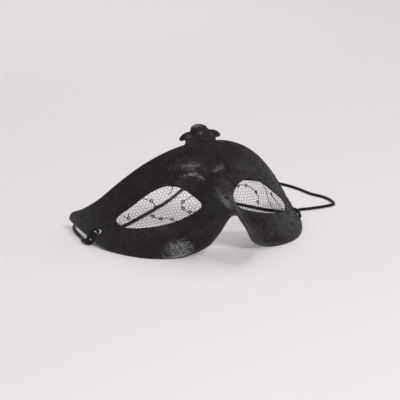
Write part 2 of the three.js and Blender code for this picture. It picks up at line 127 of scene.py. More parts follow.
def grid_faces(rows, columns):
    """Four-cornered faces of a grid whose points are numbered row by row."""
    first = (np.arange(rows - 1)[:, None] * columns + np.arange(columns - 1)).ravel()
    return np.stack([first, first + 1, first + 1 + columns, first + columns], axis=1)


def plaited(radius, along, around):
    """Radius of a braided skin: two families of strands wind opposite ways and show as low diamonds."""
    wind = 2 * np.pi * along / ELASTIC_PLAIT
    one = np.cos(ELASTIC_STRANDS / 2 * around + wind)
    other = np.cos(ELASTIC_STRANDS / 2 * around - wind)
    return radius * (1 - STRAND_RISE / 2 + STRAND_RISE * np.maximum(one, other))


def tube(line, reference=UPWARDS):
    """A closed braided tube round a line: circles stand square to the line, turned by a reference
    direction, and shrink to a point over a rounded end. Returns its points, its faces and a map of the
    length and turn at each point."""
    centre, along = evenly(np.asarray(line, float), TUBE_STEP)
    tangent = np.gradient(centre, axis=0)
    tangent /= np.linalg.norm(tangent, axis=1)[:, None]
    cap = np.linspace(np.pi / 2, 0, CAP_RINGS + 1)[:-1]
    past_end = ELASTIC_RADIUS * np.sin(cap)
    start = centre[0] - tangent[0] * past_end[:, None]
    end = centre[-1] + tangent[-1] * past_end[::-1, None]
    middle = np.vstack([start, centre, end])
    heading = np.vstack([
        np.repeat(tangent[:1], CAP_RINGS, 0), tangent, np.repeat(tangent[-1:], CAP_RINGS, 0)
    ])
    width = np.r_[np.cos(cap), np.ones(len(centre)), np.cos(cap[::-1])]
    run = np.r_[along[0] - past_end, along, along[-1] + past_end[::-1]]
    across = np.cross(heading, reference)
    across /= np.linalg.norm(across, axis=1)[:, None]
    upright = np.cross(across, heading)
    angle = np.linspace(0, 2 * np.pi, TUBE_SIDES + 1)
    reach = plaited(ELASTIC_RADIUS, run[:, None], angle[None, :]) * width[:, None]
    points = (
        middle[:, None]
        + across[:, None] * (reach * np.cos(angle))[..., None]
        + upright[:, None] * (reach * np.sin(angle))[..., None]
    )
    points[:, -1] = points[:, 0]
    chart = np.stack(np.broadcast_arrays(run[:, None], angle[None, :] / (2 * np.pi)), axis=-1)
    return points.reshape(-1, 3), grid_faces(*points.shape[:2]), chart.reshape(-1, 2)


def joined(*parts):
    """Several (points, faces, chart) shapes as one, their faces renumbered."""
    starts = np.cumsum([0] + [len(points) for points, *_ in parts])
    points = np.vstack([part[0] for part in parts])
    faces = np.vstack([part[1] + start for part, start in zip(parts, starts)])
    return points, faces, np.vstack([part[2] for part in parts])


def new_piece(name, shape, material, nodes=()):
    """A mesh object at the origin from a shape in millimetres. Points that meet are merged, which closes
    seams and poles, and the faces are turned to look outwards."""
    points, faces, chart = shape
    mesh = bpy.data.meshes.new(name)
    corners = faces.shape[1]
    mesh.vertices.add(len(points))
    mesh.vertices.foreach_set("co", (points * MM).ravel().astype(np.float32))
    mesh.loops.add(faces.size)
    mesh.loops.foreach_set("vertex_index", faces.ravel().astype(np.int32))
    mesh.polygons.add(len(faces))
    mesh.polygons.foreach_set("loop_start", np.arange(0, faces.size, corners, dtype=np.int32))
    corner_chart = chart[faces.ravel()].ravel().astype(np.float32)
    mesh.uv_layers.new(name="chart").data.foreach_set("uv", corner_chart)
    mesh.update(calc_edges=True)
    mesh.validate()
    work = bmesh.new()
    work.from_mesh(mesh)
    bmesh.ops.remove_doubles(work, verts=work.verts, dist=MERGE_WITHIN)
    bmesh.ops.dissolve_degenerate(work, edges=work.edges, dist=SHORTEST_EDGE)
    bmesh.ops.recalc_face_normals(work, faces=work.faces)
    work.to_mesh(mesh)
    work.free()
    mesh.shade_smooth()
    mesh.materials.append(material)
    piece = bpy.data.objects.new(name, mesh)
    bpy.context.scene.collection.objects.link(piece)
    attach(piece, "root")
    if nodes:
        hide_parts(*nodes)
    return piece


def finish(name, roughness, specular, sheen=0.0):
    """A material with its plain values on the shader. Returns it, the shader's sockets, a function that
    adds a node and one that feeds a socket."""
    material = bpy.data.materials.new(name)
    material.use_nodes = True
    tree = material.node_tree
    shader = tree.nodes["Principled BSDF"].inputs
    shader["Roughness"].default_value = roughness
    shader["Specular IOR Level"].default_value = specular
    shader["Sheen Weight"].default_value = sheen
    shader["Sheen Roughness"].default_value = 0.5

    def feed(socket, value):
        """Links another node's output to a socket, or gives the socket a plain value."""
        if isinstance(value, bpy.types.NodeSocket):
            tree.links.new(value, socket)
        else:
            socket.default_value = value

    def node(kind, sockets=(), **settings):
        """A new node with its settings, and with its sockets fed by name or by number."""
        made = tree.nodes.new(kind)
        for key, value in settings.items():
            setattr(made, key, value)
        for key, value in dict(sockets).items():
            feed(made.inputs[key], value)
        return made

    return material, shader, node, feed


def reckoned(node, operation, *terms):
    """The result of one Math node, from outputs and plain numbers."""
    return node("ShaderNodeMath", dict(enumerate(terms)), operation=operation).outputs[0]


def noise(node, scale, detail, **more):
    """Noise in the piece's own space, from 0 to 1."""
    place = node("ShaderNodeTexCoord").outputs["Object"]
    sockets = {"Vector": place, "Scale": scale, "Detail": detail, **more}
    return node("ShaderNodeTexNoise", sockets).outputs["Fac"]


def two_tone(shader, node, feed, factor, dark, light):
    """Makes the base colour a blend of two colours, by a factor from 0 to 1."""
    mix = node("ShaderNodeMix", {"Factor": factor, 6: (*dark, 1), 7: (*light, 1)}, data_type="RGBA")
    feed(shader["Base Color"], mix.outputs[2])


def braided_elastic():
    """Black thread braided over rubber: a diamond plait that follows the cord's own map, with fuzz."""
    material, shader, node, feed = finish("braided_elastic", roughness=0.72, specular=0.22, sheen=0.08)
    chart = node("ShaderNodeUVMap", uv_map="chart").outputs["UV"]
    split = node("ShaderNodeSeparateXYZ", {"Vector": chart}).outputs
    turn = reckoned(node, "MULTIPLY", split["Y"], ELASTIC_STRANDS)
    along = reckoned(node, "MULTIPLY", split["X"], 2 / ELASTIC_PLAIT)
    phases = [reckoned(node, way, turn, along) for way in ("ADD", "SUBTRACT")]
    waves = [reckoned(node, "PINGPONG", phase, 0.5) for phase in phases]
    fuzz = noise(node, scale=1400.0, detail=2.0)
    height = reckoned(node, "MULTIPLY_ADD", fuzz, 0.3, reckoned(node, "MAXIMUM", *waves))
    bump = node("ShaderNodeBump", {"Height": height, "Strength": 0.5, "Distance": 0.0001})
    feed(shader["Normal"], bump.outputs["Normal"])
    # Its colour follows the plait's height, with fuzz noise mixed in: painted shade down in the grooves
    # between the strands and painted light on their raised tops.
    two_tone(shader, node, feed, height, dark=(0.003, 0.0027, 0.0026), light=(0.0105, 0.0092, 0.0088))
    return material


elastic_finish = braided_elastic()
elastic_line = curve_through(ELASTIC_ROUTE)
elastic_cord = new_piece(
    "elastic_cord_braid", tube(elastic_line), elastic_finish, ["elastic_cord"]
)
tail_line = curve_through(TAIL_ROUTE)
elastic_tail = new_piece(
    "elastic_tail_braid", tube(tail_line), elastic_finish, ["elastic_tail"]
)

# Moulded shell. A half mask of black plastic about 2 mm thick, vacuum formed over a smooth face with
# a nose ridge, brows and cheeks. Its cut edges are rounded, and a slot near each wing's lower edge
# takes the elastic. Its places are s across the face, v up it and a depth behind it, in millimetres.
LEAN_BACK = np.radians(28.3)
RIM_DROP = 32.4  # from the face's middle down to the table
TO_CENTRE = 21.2
HALF_SPAN = 128.5  # measured round the face
WRAP_RADIUS = 106.3
TIP_CURL = 0.061  # radians more that the wing tips turn
WRAP_TAPER = 0.0097  # the wrap deepens by this share for each mm up
FLARE = 0.0018  # and narrows by this one
PLAN_STEP = 0.25
PLAN_SPARE = 10  # the plan curve runs on past the wing tip
BROW_RADIUS = 108.7
CHEEK_RADIUS = 133.8
NOSE = {"height": 30.4, "width": 9.35, "ridge": 4.3, "top": 25.9, "fall": 43.2}
NOSTRIL = {"top": -14, "fall": 14, "wider": 0.42}  # the nose widens by this share towards its arch
CHEEK = {"height": 8, "s": 45.4, "v": -23.8, "wide": 28.1, "tall": 17.3, "blend": 4.8}
BROW = {"height": 3, "s": 22, "v": 23, "wide": 22, "tall": 6.2, "dip": 6, "dip_wide": 8}
CREST_FOOT = 47
CREST_CURL = 0.04
OUTLINE_HALF = [
    (0, 47.5), (17.3, 47), (36.7, 44), (56.2, 38.6), (75.6, 30.8), (94, 23.1), (110, 20.6),
    (124.5, 21.4), (128.5, 17.8), (124.8, 12.2), (111.5, -1.2), (97.2, -16.2), (79.9, -27),
    (62.6, -34.8), (46.4, -38.9), (32.8, -38.5), (18.4, -34.4), (13.5, -29.3), (5.3, -18.6), (0, -16.4),
]
EYE = [
    (14.3, -1.3), (20.6, 11.3), (34.9, 18.1), (47.5, 17), (66, 9),
    (79.4, 2.2), (74, -5.2), (58.1, -9.9), (41.8, -10.6), (24.2, -6.8),
]
EYE_CENTRE = np.array([44.0, 1.0])
SHELL_FRONT = 0.45
SHELL_BACK = 2.5
SHELL_BACK_AT_EYE = 1.15  # the wall is thinned from inside towards the eye holes
THINNED = 5.0
LIP = {"height": 0.35, "wide": 1.1}  # the edge stands a little proud of the face
OUTLINE_STEP = 1.0
OUTLINE_SPAN = 80  # points between two points of an outline
EDGE_STEPS = 9  # steps round a cut edge
WALL_ROWS = 36  # rows of points from an eye hole to the rim
ROW_EASE = 0.08  # rows lie closer together near both edges
LIP_FADE = 3.0  # the lip dies away towards the centre line
FACE_MARGIN = 0.02  # puckers lift all that lies this far before the back
SLOT = {"s": 98, "v": -2, "length": 10.4, "width": 3.3, "turn": np.arctan2(0.72, 0.7), "reach": 5}
SLOT_DEPTH = 1.0  # where the slot is measured, within the wall


def smoothstep(x):
    """Rises from 0 to 1 as x goes from 0 to 1, level at both ends: three squares less two cubes."""
    t = np.clip(x, 0, 1)
    return t * t * (3 - 2 * t)


def swell(u, w=0.0):
    """A round hill, 1 at its top: the exponential of minus the squared distance."""
    return np.exp(-u * u - w * w)


def running_total(slope):
    """A slope added up along the plan curve, by the trapezium rule."""
    return np.r_[0, np.cumsum(PLAN_STEP / 2 * (slope[1:] + slope[:-1]))]


plan_s = np.arange(0, HALF_SPAN + PLAN_SPARE, PLAN_STEP)
plan_turn = plan_s / WRAP_RADIUS + TIP_CURL * (plan_s / HALF_SPAN) ** 4
plan_x = running_total(np.cos(plan_turn))
plan_z = -running_total(np.sin(plan_turn))


def relief(s, v):
    """How far the moulding stands forward: a saddle, the nose ridge, and swellings for cheeks and brows."""
    side = np.sqrt(s * s + CHEEK["blend"] ** 2)
    saddle = v * v / (2 * np.where(v > 0, BROW_RADIUS, CHEEK_RADIUS))
    rise = NOSE["height"] * smoothstep((NOSE["top"] - v) / NOSE["fall"])
    ridge = np.sqrt(s * s + NOSE["ridge"] ** 2) - NOSE["ridge"]
    flare = NOSTRIL["wider"] * smoothstep((NOSTRIL["top"] - v) / NOSTRIL["fall"])
    nose = rise * swell(ridge / (NOSE["width"] * (1 + flare)))
    cheek = CHEEK["height"] * swell((side - CHEEK["s"]) / CHEEK["wide"], (v - CHEEK["v"]) / CHEEK["tall"])
    brow_line = BROW["v"] - BROW["dip"] * swell(s / BROW["dip_wide"])
    brow = BROW["height"] * swell((side - BROW["s"]) / BROW["wide"], (v - brow_line) / BROW["tall"])
    return saddle + nose + cheek + brow - CREST_CURL * np.maximum(v - CREST_FOOT, 0) ** 2


def front(s, v):
    """The face's surface: the wrap's plan curve across, the relief on it, leant back on the table."""
    s, v = np.broadcast_arrays(np.asarray(s, float), np.asarray(v, float))
    x = np.interp(np.abs(s), plan_s, plan_x) * np.sign(s) * (1 - FLARE * v)
    z = np.interp(np.abs(s), plan_s, plan_z) * (1 + WRAP_TAPER * v) + relief(s, v)
    sin, cos = np.sin(LEAN_BACK), np.cos(LEAN_BACK)
    return np.stack([x, v * sin - z * cos - TO_CENTRE, v * cos + z * sin + RIM_DROP], axis=-1)


def normal(s, v, h=0.25):
    """The way out of the surface, from the cross product of its two slopes."""
    out = np.cross(front(s + h, v) - front(s - h, v), front(s, v + h) - front(s, v - h))
    return out / np.linalg.norm(out, axis=-1, keepdims=True)


def skin(s, v, depth):
    """The point at a depth under (s, v), never below the table that the rim rests on."""
    s, v, depth = np.broadcast_arrays(*(np.asarray(x, float) for x in (s, v, depth)))
    points = front(s, v) - normal(s, v) * depth[..., None]
    points[..., 2] = np.maximum(points[..., 2], 0)
    return points


def mirrored(half):
    """A closed outline from its half: the other half comes back up with its side changed."""
    return list(half) + [(-a, b) for a, b in half[-2:0:-1]]


def half_outline(half, step):
    """Points a step apart down one half of a mirrored outline, and the way inwards at each."""
    dense = curve_through(mirrored(half), closed=True, per_span=OUTLINE_SPAN)
    line, _ = evenly(dense[: OUTLINE_SPAN * (len(half) - 1) + 1], step)
    heading = np.gradient(line, axis=0)
    heading /= np.linalg.norm(heading, axis=1)[:, None]
    inwards = np.stack([heading[:, 1], -heading[:, 0]], axis=1)
    inwards[0], inwards[-1] = (0, -1), (0, 1)
    return line, inwards


eye_away = curve_through(EYE, closed=True, per_span=60) - EYE_CENTRE
eye_angle = np.arctan2(eye_away[:, 1], eye_away[:, 0])
eye_order = np.argsort(eye_angle)
eye_reach = np.linalg.norm(eye_away, axis=1)


def eye_edge(points, outset):
    """Where the rays from the eye's centre to these points leave the eye hole, moved out by outset."""
    away = points - EYE_CENTRE
    angle = np.arctan2(away[:, 1], away[:, 0])
    reach = np.interp(angle, eye_angle[eye_order], eye_reach[eye_order], period=2 * np.pi)
    return EYE_CENTRE + np.stack([np.cos(angle), np.sin(angle)], axis=1) * (reach + outset)[:, None]


def to_the_rim(outline):
    """An inset of nothing: the shell's edge is the outline itself."""
    return np.zeros(len(outline))


def moulded_half(side, depth_front, depth_back, eye_back, rim_inset, eye_outset, lip=0.0, raise_by=None):
    """Half of a layer as a closed section swept round the eye: front from eye to rim, round the rim,
    back again, and round the eye's edge. Along the centre line the section stays open, to meet the
    other half."""
    outline, inwards = half_outline(OUTLINE_HALF, OUTLINE_STEP)
    rim_inset = rim_inset(outline)
    radius = (depth_back - depth_front) / 2
    middle = (depth_back + depth_front) / 2
    eye_radius = (eye_back - depth_front) / 2
    eye_middle = (eye_back + depth_front) / 2
    low, high = outline[-1, 1] + rim_inset[-1] + radius, outline[0, 1] - rim_inset[0] - radius
    climb = np.linspace(low, high, int((high - low) / OUTLINE_STEP) + 1)[1:-1]
    centre_line = np.stack([np.zeros_like(climb), climb], axis=1)

    def outer(inset):
        """The section's outer ends: down the rim, and back up the centre line."""
        return np.vstack([outline + inwards * (rim_inset + inset)[:, None], centre_line])

    def inner(outset):
        """Its inner ends, on the edge of the eye hole."""
        return eye_edge(outer(radius), eye_outset + outset)

    share = np.linspace(0, 1, WALL_ROWS)
    share = share - ROW_EASE * np.sin(4 * np.pi * share) / (2 * np.pi)
    swing = np.linspace(-np.pi / 2, np.pi / 2, EDGE_STEPS)[1:-1]
    start = inner(eye_radius)
    across = outer(radius) - start
    from_eye = np.linalg.norm(across, axis=1)
    columns, depths = [], []
    even = np.ones(len(start))
    for t in share:
        columns.append(start + across * t)
        depths.append(depth_front * even)
    for angle in swing:
        columns.append(outer(radius * (1 - np.cos(angle))))
        depths.append((middle + radius * np.sin(angle)) * even)
    for t in share[::-1]:
        columns.append(start + across * t)
        depths.append(eye_back + (depth_back - eye_back) * smoothstep(from_eye * t / THINNED))
    for angle in swing[::-1]:
        columns.append(inner(eye_radius * (1 - np.cos(angle))))
        depths.append((eye_middle + eye_radius * np.sin(angle)) * even)
    columns.append(columns[0])
    depths.append(depths[0])
    place = np.stack(columns)
    place = np.concatenate([place, place[:, :1]], axis=1)
    depth = np.stack(depths)
    depth = np.concatenate([depth, depth[:, :1]], axis=1)
    if lip:
        rim_gap = np.linalg.norm(place - np.concatenate([outer(0), outer(0)[:1]])[None], axis=-1)
        on_face = np.arange(len(depths))[:, None] < WALL_ROWS + len(swing) // 2
        from_centre = smoothstep(np.abs(place[..., 0]) / LIP_FADE)
        depth = depth - lip * swell(rim_gap / LIP["wide"]) * on_face * from_centre
    if raise_by:
        in_front = depth < depth_back - FACE_MARGIN
        depth = depth - raise_by(side * place[..., 0], place[..., 1]) * in_front
    points = skin(side * place[..., 0], place[..., 1], depth)
    faces = grid_faces(*place.shape[:2])
    row, column = np.divmod(np.arange(len(faces)), place.shape[1] - 1)
    round_edge = (row >= WALL_ROWS - 1) & (row < WALL_ROWS + len(swing))
    at_centre = column >= len(outline) - 1
    faces = faces[~(round_edge & at_centre)]
    if side < 0:
        faces = faces[:, ::-1]
    chart = place * (side, 1)
    return points.reshape(-1, 3), faces, chart.reshape(-1, 2)


def slot_cutter(ease):
    """A round-ended prism through each wing, along the surface's normal there, widened by ease."""
    parts = []
    half = (SLOT["length"] - SLOT["width"]) / 2
    radius = SLOT["width"] / 2 + ease
    swing = np.linspace(-np.pi / 2, np.pi / 2, EDGE_STEPS)
    angle = np.r_[swing, swing + np.pi]
    shift = np.repeat([half, -half], len(swing))
    section = np.stack([shift + radius * np.cos(angle), radius * np.sin(angle)], axis=1)
    for side in (-1, 1):
        lean = side * SLOT["turn"] + (np.pi if side < 0 else 0)
        turned = section @ np.array([[np.cos(lean), np.sin(lean)], [-np.sin(lean), np.cos(lean)]])
        s, v = side * SLOT["s"], SLOT["v"]
        z = normal(s, v)
        h = 0.5
        up = front(s, v + h) - front(s, v - h)
        x = np.cross(up, z) / np.linalg.norm(up)
        y = np.cross(z, x)
        flat = skin(s, v, SLOT_DEPTH) + turned[:, :1] * x + turned[:, 1:] * y
        middle = np.broadcast_to(flat.mean(0), flat.shape)
        through = z * SLOT["reach"]
        rings = np.stack([middle - through, flat - through, flat + through, middle + through])
        rings = np.concatenate([rings, rings[:, :1]], axis=1)
        parts.append((rings.reshape(-1, 3), grid_faces(*rings.shape[:2]), rings.reshape(-1, 3)[:, :2]))
    return joined(*parts)


def cut_slots(piece, ease):
    """Takes the slots out of a piece, and leaves its mesh without a modifier."""
    cutter = new_piece("cutter", slot_cutter(ease), piece.data.materials[0])
    cut = piece.modifiers.new("slots", "BOOLEAN")
    cut.operation = "DIFFERENCE"
    cut.solver = "EXACT"
    cut.object = cutter
    graph = bpy.context.evaluated_depsgraph_get()
    mesh = bpy.data.meshes.new_from_object(piece.evaluated_get(graph))
    piece.modifiers.clear()
    piece.data = mesh
    bpy.data.objects.remove(cutter)


def moulded_plastic(name, specular, dark, light):
    """Brown-black gloss plastic with a faint orange peel, duller in patches where it has been handled."""
    material, shader, node, feed = finish(name, roughness=0.34, specular=specular)
    patch = noise(node, scale=38.0, detail=4.0)
    two_tone(shader, node, feed, patch, dark, light)
    rough = node("ShaderNodeMapRange", {"Value": patch, "To Min": 0.26, "To Max": 0.46})
    feed(shader["Roughness"], rough.outputs["Result"])
    peel = noise(node, scale=900.0, detail=3.0)
    bump = node("ShaderNodeBump", {"Height": peel, "Strength": 0.25, "Distance": 0.00012})
    feed(shader["Normal"], bump.outputs["Normal"])
    return material


# The shell's colours are lighter than the lace's: partly the plastic's own brown-grey, partly painted sheen
# standing for the light that its rounded edge catches.
plastic = moulded_plastic(
    "moulded_plastic", specular=0.45, dark=(0.017, 0.0145, 0.0130), light=(0.034, 0.0300, 0.0270)
)
shell_halves = [
    moulded_half(
        side, SHELL_FRONT, SHELL_BACK, SHELL_BACK_AT_EYE, rim_inset=to_the_rim, eye_outset=0.0,
        lip=LIP["height"]
    )
    for side in (1, -1)
]
moulded_shell = new_piece("moulded_shell", joined(*shell_halves), plastic, ["mask_shell"])
cut_slots(moulded_shell, ease=0.0)

# Crest. Three lobes moulded with the shell at the top centre: a round bud, and a leaf that curls down
# on each side of it. Its neck grows out of the forehead without a step.
CREST_OFFSET = -7.0
CREST_CENTRE = np.array([0.0, 4.6])
CREST_HALF = [
    (0, -4.5), (11.5, -4), (14.3, -1.5), (13.2, 0.9), (13.4, 2.7), (16.4, 2.8), (18, 4.3),
    (15.9, 6.8), (12.2, 8.5), (8.4, 9.3), (6.1, 13), (0, 15),
]
CREST_SKIN = {"root": 0.36, "front": 0.05, "root_back": 2.05, "back": 2.3}
CREST_OUT = (-4.5, 3.5)  # where the crest starts to leave the forehead, and over how much height
RELIEF_IN = (-2.5, 5)  # the same for its relief
BACK_IN = (0, 1.6)  # and for its back
CREST_STEP = 0.4
CREST_RINGS = 24
CREST_LIFT_STEPS = (0.12, 0.35, 0.65, 0.88)  # rings round its edge, from front to back
CREST_BULGE = (1.01, 1.015, 1.015, 1.01)  # and how far out each stands
BUD = {"up": 6.9, "radius": 8.3, "height": 3.1, "round": 0.75, "petals": 3, "turn": 0.4}
CREASE = {"deep": 0.35, "at": 0.05, "wide": 0.25, "from": 0.5}
LEAF = {"across": 12, "up": 5.3, "wide": 5.8, "tall": 3.4, "height": 1.8}
VEIN = {"deep": 0.4, "slant": 0.12, "wide": 0.6}
MEETING = 2.2  # how sharply the bud and the leaves meet


def crest_relief(a, b):
    """The bud as part of a ball with shallow petal creases, and each leaf as a soft ridge with a vein."""
    r = np.hypot(a, b - BUD["up"]) / BUD["radius"]
    petal = np.abs(np.sin(BUD["petals"] / 2 * np.arctan2(a, b - BUD["up"]) + BUD["turn"]))
    crease = CREASE["deep"] * swell((petal - CREASE["at"]) / CREASE["wide"])
    crease = crease * smoothstep(r / CREASE["from"])
    bud = (BUD["height"] - crease) * np.clip(1 - r * r, 0, 1) ** BUD["round"]
    out = np.abs(a) - LEAF["across"]
    vein = VEIN["deep"] * swell((b - LEAF["up"] - VEIN["slant"] * out) / VEIN["wide"])
    leaf = (LEAF["height"] - vein) * swell(out / LEAF["wide"], (b - LEAF["up"]) / LEAF["tall"])
    return np.log(np.exp(MEETING * bud) + np.exp(MEETING * leaf)) / MEETING - np.log(2) / MEETING


def crest_point(a, b, layer, lift=0.0):
    """A point of the crest from its front, layer 0, to its back, layer 1: the face's own surface with the
    relief on it. The front comes out of the forehead over the first few millimetres."""
    out, relief_in, back_in = (
        smoothstep((b - start) / over) for start, over in (CREST_OUT, RELIEF_IN, BACK_IN)
    )
    face = CREST_SKIN["root"] + (CREST_SKIN["front"] - CREST_SKIN["root"]) * out
    face = face - relief_in * crest_relief(a, b)
    behind = CREST_SKIN["root_back"] + (CREST_SKIN["back"] - CREST_SKIN["root_back"]) * back_in
    return skin(CREST_OFFSET + a, CREST_FOOT + b, face + (behind - face) * layer - lift)


crest_edge, _ = half_outline(CREST_HALF, CREST_STEP)
crest_edge = np.vstack([crest_edge, crest_edge[-1::-1] * (-1, 1)])
crest_share = np.sin(np.linspace(0, np.pi / 2, CREST_RINGS))
crest_layer = np.r_[np.zeros(CREST_RINGS), CREST_LIFT_STEPS, np.ones(CREST_RINGS)]
crest_reach = np.r_[crest_share, CREST_BULGE, crest_share[::-1]]
crest_place = CREST_CENTRE + (crest_edge - CREST_CENTRE)[None] * crest_reach[:, None, None]
crest_points = crest_point(crest_place[..., 0], crest_place[..., 1], crest_layer[:, None])
crest_shape = (
    crest_points.reshape(-1, 3), grid_faces(*crest_points.shape[:2]), crest_place.reshape(-1, 2)
)
crest_plastic = moulded_plastic(
    "crest_plastic", specular=0.3, dark=(0.0068, 0.0053, 0.0046), light=(0.0205, 0.0162, 0.0142)
)
crest_ornament = new_piece("crest_ornament", crest_shape, crest_plastic, ["mask_shell"])

# Lace. One piece of black net lace, stiffened with glue and pressed over the whole front, also across
# both eye holes. Six-sided net carries thin stems and small rings, and it puckers over the wings.
LACE_FACE = 0.28
LACE_INSET = {  # the plastic shows a little more round the nose arch and under the cheeks
    "rim": 0.9, "arch": 2.4, "s": 66, "v": -8, "fade_s": 25, "fade_v": 8,
}
LACE_OVER_EYE = 0.5
LACE_SHEEN = 0.15
NET_PITCH = 2.7
NET_ROW = 0.866  # rows of cells lie this share of the pitch apart
NET_DRIFT = 0.6
NET_JITTER = 0.12
NET_FIELD = ((-HALF_SPAN, -42), (HALF_SPAN, 50))
NET_INSET = 0.2
CREST_FIELD = ((-20, -4.5), (20, 17))
CREST_COVERED = 0.97  # the net ends short of the crest's edge
THREAD = 0.24
THREAD_SINK = 0.06
THREAD_TALL = 0.85  # of its width
THREAD_OVERLAP = 0.35  # past its corner, of its width
SLOT_MARGIN = 0.9
BATCH = 4000  # points tested at once
PUCKERED = [
    {"count": 60, "height": 0.32, "s": (-118, 60)},
    {"count": 110, "height": 0.7, "s": (20, 118)},  # more and higher over the right wing and cheek
]
PUCKER_V = (-34, 40)
PUCKER_LONG = (2.0, 6.5)
PUCKER_WIDE = 0.9
LOWEST_SHARE = 0.3  # the lowest puckers have this share of the height
pucker_random = np.random.default_rng(11)
pucker_counts = [area["count"] for area in PUCKERED]
pucker_s = np.concatenate([pucker_random.uniform(*area["s"], area["count"]) for area in PUCKERED])
pucker_v = pucker_random.uniform(*PUCKER_V, sum(pucker_counts))
pucker_turn = pucker_random.uniform(0, np.pi, sum(pucker_counts))
pucker_long = pucker_random.uniform(*PUCKER_LONG, sum(pucker_counts))
pucker_rise = pucker_random.uniform(LOWEST_SHARE, 1.0, sum(pucker_counts))
pucker_rise *= np.repeat([area["height"] for area in PUCKERED], pucker_counts)


def pucker(s, v):
    """Small folds of the net: long narrow swellings at scattered places and angles."""
    height = np.zeros(np.broadcast(s, v).shape)
    puckers = zip(pucker_s, pucker_v, pucker_turn, pucker_long, pucker_rise)
    for at_s, at_v, turned, length, rise in puckers:
        along = (s - at_s) * np.cos(turned) + (v - at_v) * np.sin(turned)
        across = (v - at_v) * np.cos(turned) - (s - at_s) * np.sin(turned)
        height += rise * swell(along / length, across / PUCKER_WIDE)
    return height


def inside(points, polygon):
    """True for points within a closed polygon, by counting the sides that a level ray crosses."""
    a, b = polygon, np.roll(polygon, -1, axis=0)
    found = np.zeros(len(points), bool)
    for start in range(0, len(points), BATCH):
        x, y = points[start:start + BATCH, :1], points[start:start + BATCH, 1:]
        spans = (a[:, 1] > y) != (b[:, 1] > y)
        with np.errstate(divide="ignore", invalid="ignore"):
            meets = a[:, 0] + (y - a[:, 1]) / (b[:, 1] - a[:, 1]) * (b[:, 0] - a[:, 0])
        found[start:start + BATCH] = (spans & (x < meets)).sum(axis=1) % 2 == 1
    return found


def lace_inset(outline):
    """How far the lace's cut edge lies inside the rim: more round the nose arch and under the cheeks."""
    inward = smoothstep((LACE_INSET["s"] - outline[:, 0]) / LACE_INSET["fade_s"])
    low = smoothstep((LACE_INSET["v"] - outline[:, 1]) / LACE_INSET["fade_v"])
    return LACE_INSET["rim"] + (LACE_INSET["arch"] - LACE_INSET["rim"]) * inward * low


def cut_edge(further):
    """The lace's own cut edge, moved further inwards."""
    outline, inwards = half_outline(OUTLINE_HALF, OUTLINE_STEP)
    right = outline + inwards * (lace_inset(outline) + further)[:, None]
    return np.vstack([right, right[-2:0:-1] * (-1, 1)])


def in_slot(points, ease):
    """True for points within a slot that is widened by ease: their distance from the middle line of its
    round-ended shape is less than half its width."""
    away = np.stack([np.abs(points[:, 0]), points[:, 1]], axis=1) - (SLOT["s"], SLOT["v"])
    axis = np.array([np.cos(SLOT["turn"]), np.sin(SLOT["turn"])])
    half = (SLOT["length"] - SLOT["width"]) / 2
    along = np.clip(away @ axis, -half, half)
    return np.linalg.norm(away - along[:, None] * axis, axis=1) < SLOT["width"] / 2 + ease


def net_lines(low, high):
    """Both ends of each thread of a honeycomb: every cell gives three of its six sides. Slow sine waves
    and a small quick one move the corners about, so that the net looks stretched by hand."""
    rows = np.arange(int((high[1] - low[1]) / (NET_PITCH * NET_ROW)) + 2)
    columns = np.arange(int((high[0] - low[0]) / NET_PITCH) + 2)
    x = low[0] + (columns[None, :] + 0.5 * (rows % 2)[:, None]) * NET_PITCH
    y = low[1] + rows[:, None] * NET_PITCH * NET_ROW + 0 * x
    centre = np.stack([x.ravel(), y.ravel()], axis=1)
    angle = np.pi / 6 + np.pi / 3 * np.arange(4)
    corner = centre[:, None] + NET_PITCH / np.sqrt(3) * np.stack([np.cos(angle), np.sin(angle)], axis=1)
    s, v = corner[..., 0], corner[..., 1]
    slow_s = np.sin(v / 7.3 + 1.3 * np.sin(s / 11))
    slow_v = np.sin(s / 6.1 + 1.1 * np.cos(v / 9))
    quick = np.sin(corner[..., ::-1] * (5.1, 4.3) * 3)
    corner = corner + NET_DRIFT * np.stack([slow_s, slow_v], axis=-1) + NET_JITTER * quick
    return corner[:, :3].reshape(-1, 2), corner[:, 1:].reshape(-1, 2)


def on_lace(s, v, lift):
    """A point over the lace's face, puckers included."""
    return skin(s, v, LACE_FACE - pucker(s, v) - lift)


def threads(start, end, place):
    """A three-sided thread from each start to each end, closed at both, lying on a surface."""
    heading = end - start
    heading = heading / np.linalg.norm(heading, axis=1, keepdims=True)
    across = np.stack([-heading[:, 1], heading[:, 0]], axis=1) * THREAD / 2
    over = heading * THREAD * THREAD_OVERLAP
    section = [(-1.0, -THREAD_SINK), (1.0, -THREAD_SINK), (0.0, THREAD * THREAD_TALL)]
    corners = []
    for point in (start - over, end + over):
        for side, lift in section:
            at = point + across * side
            corners.append(place(at[:, 0], at[:, 1], lift))
    points = np.stack(corners, axis=1)
    sides_and_ends = np.array([(0, 1, 4, 3), (1, 2, 5, 4), (2, 0, 3, 5), (0, 2, 1, 1), (3, 4, 5, 5)])
    faces = (6 * np.arange(len(points))[:, None, None] + sides_and_ends[None]).reshape(-1, 4)
    return points.reshape(-1, 3), faces, np.repeat(start, 6, axis=0)


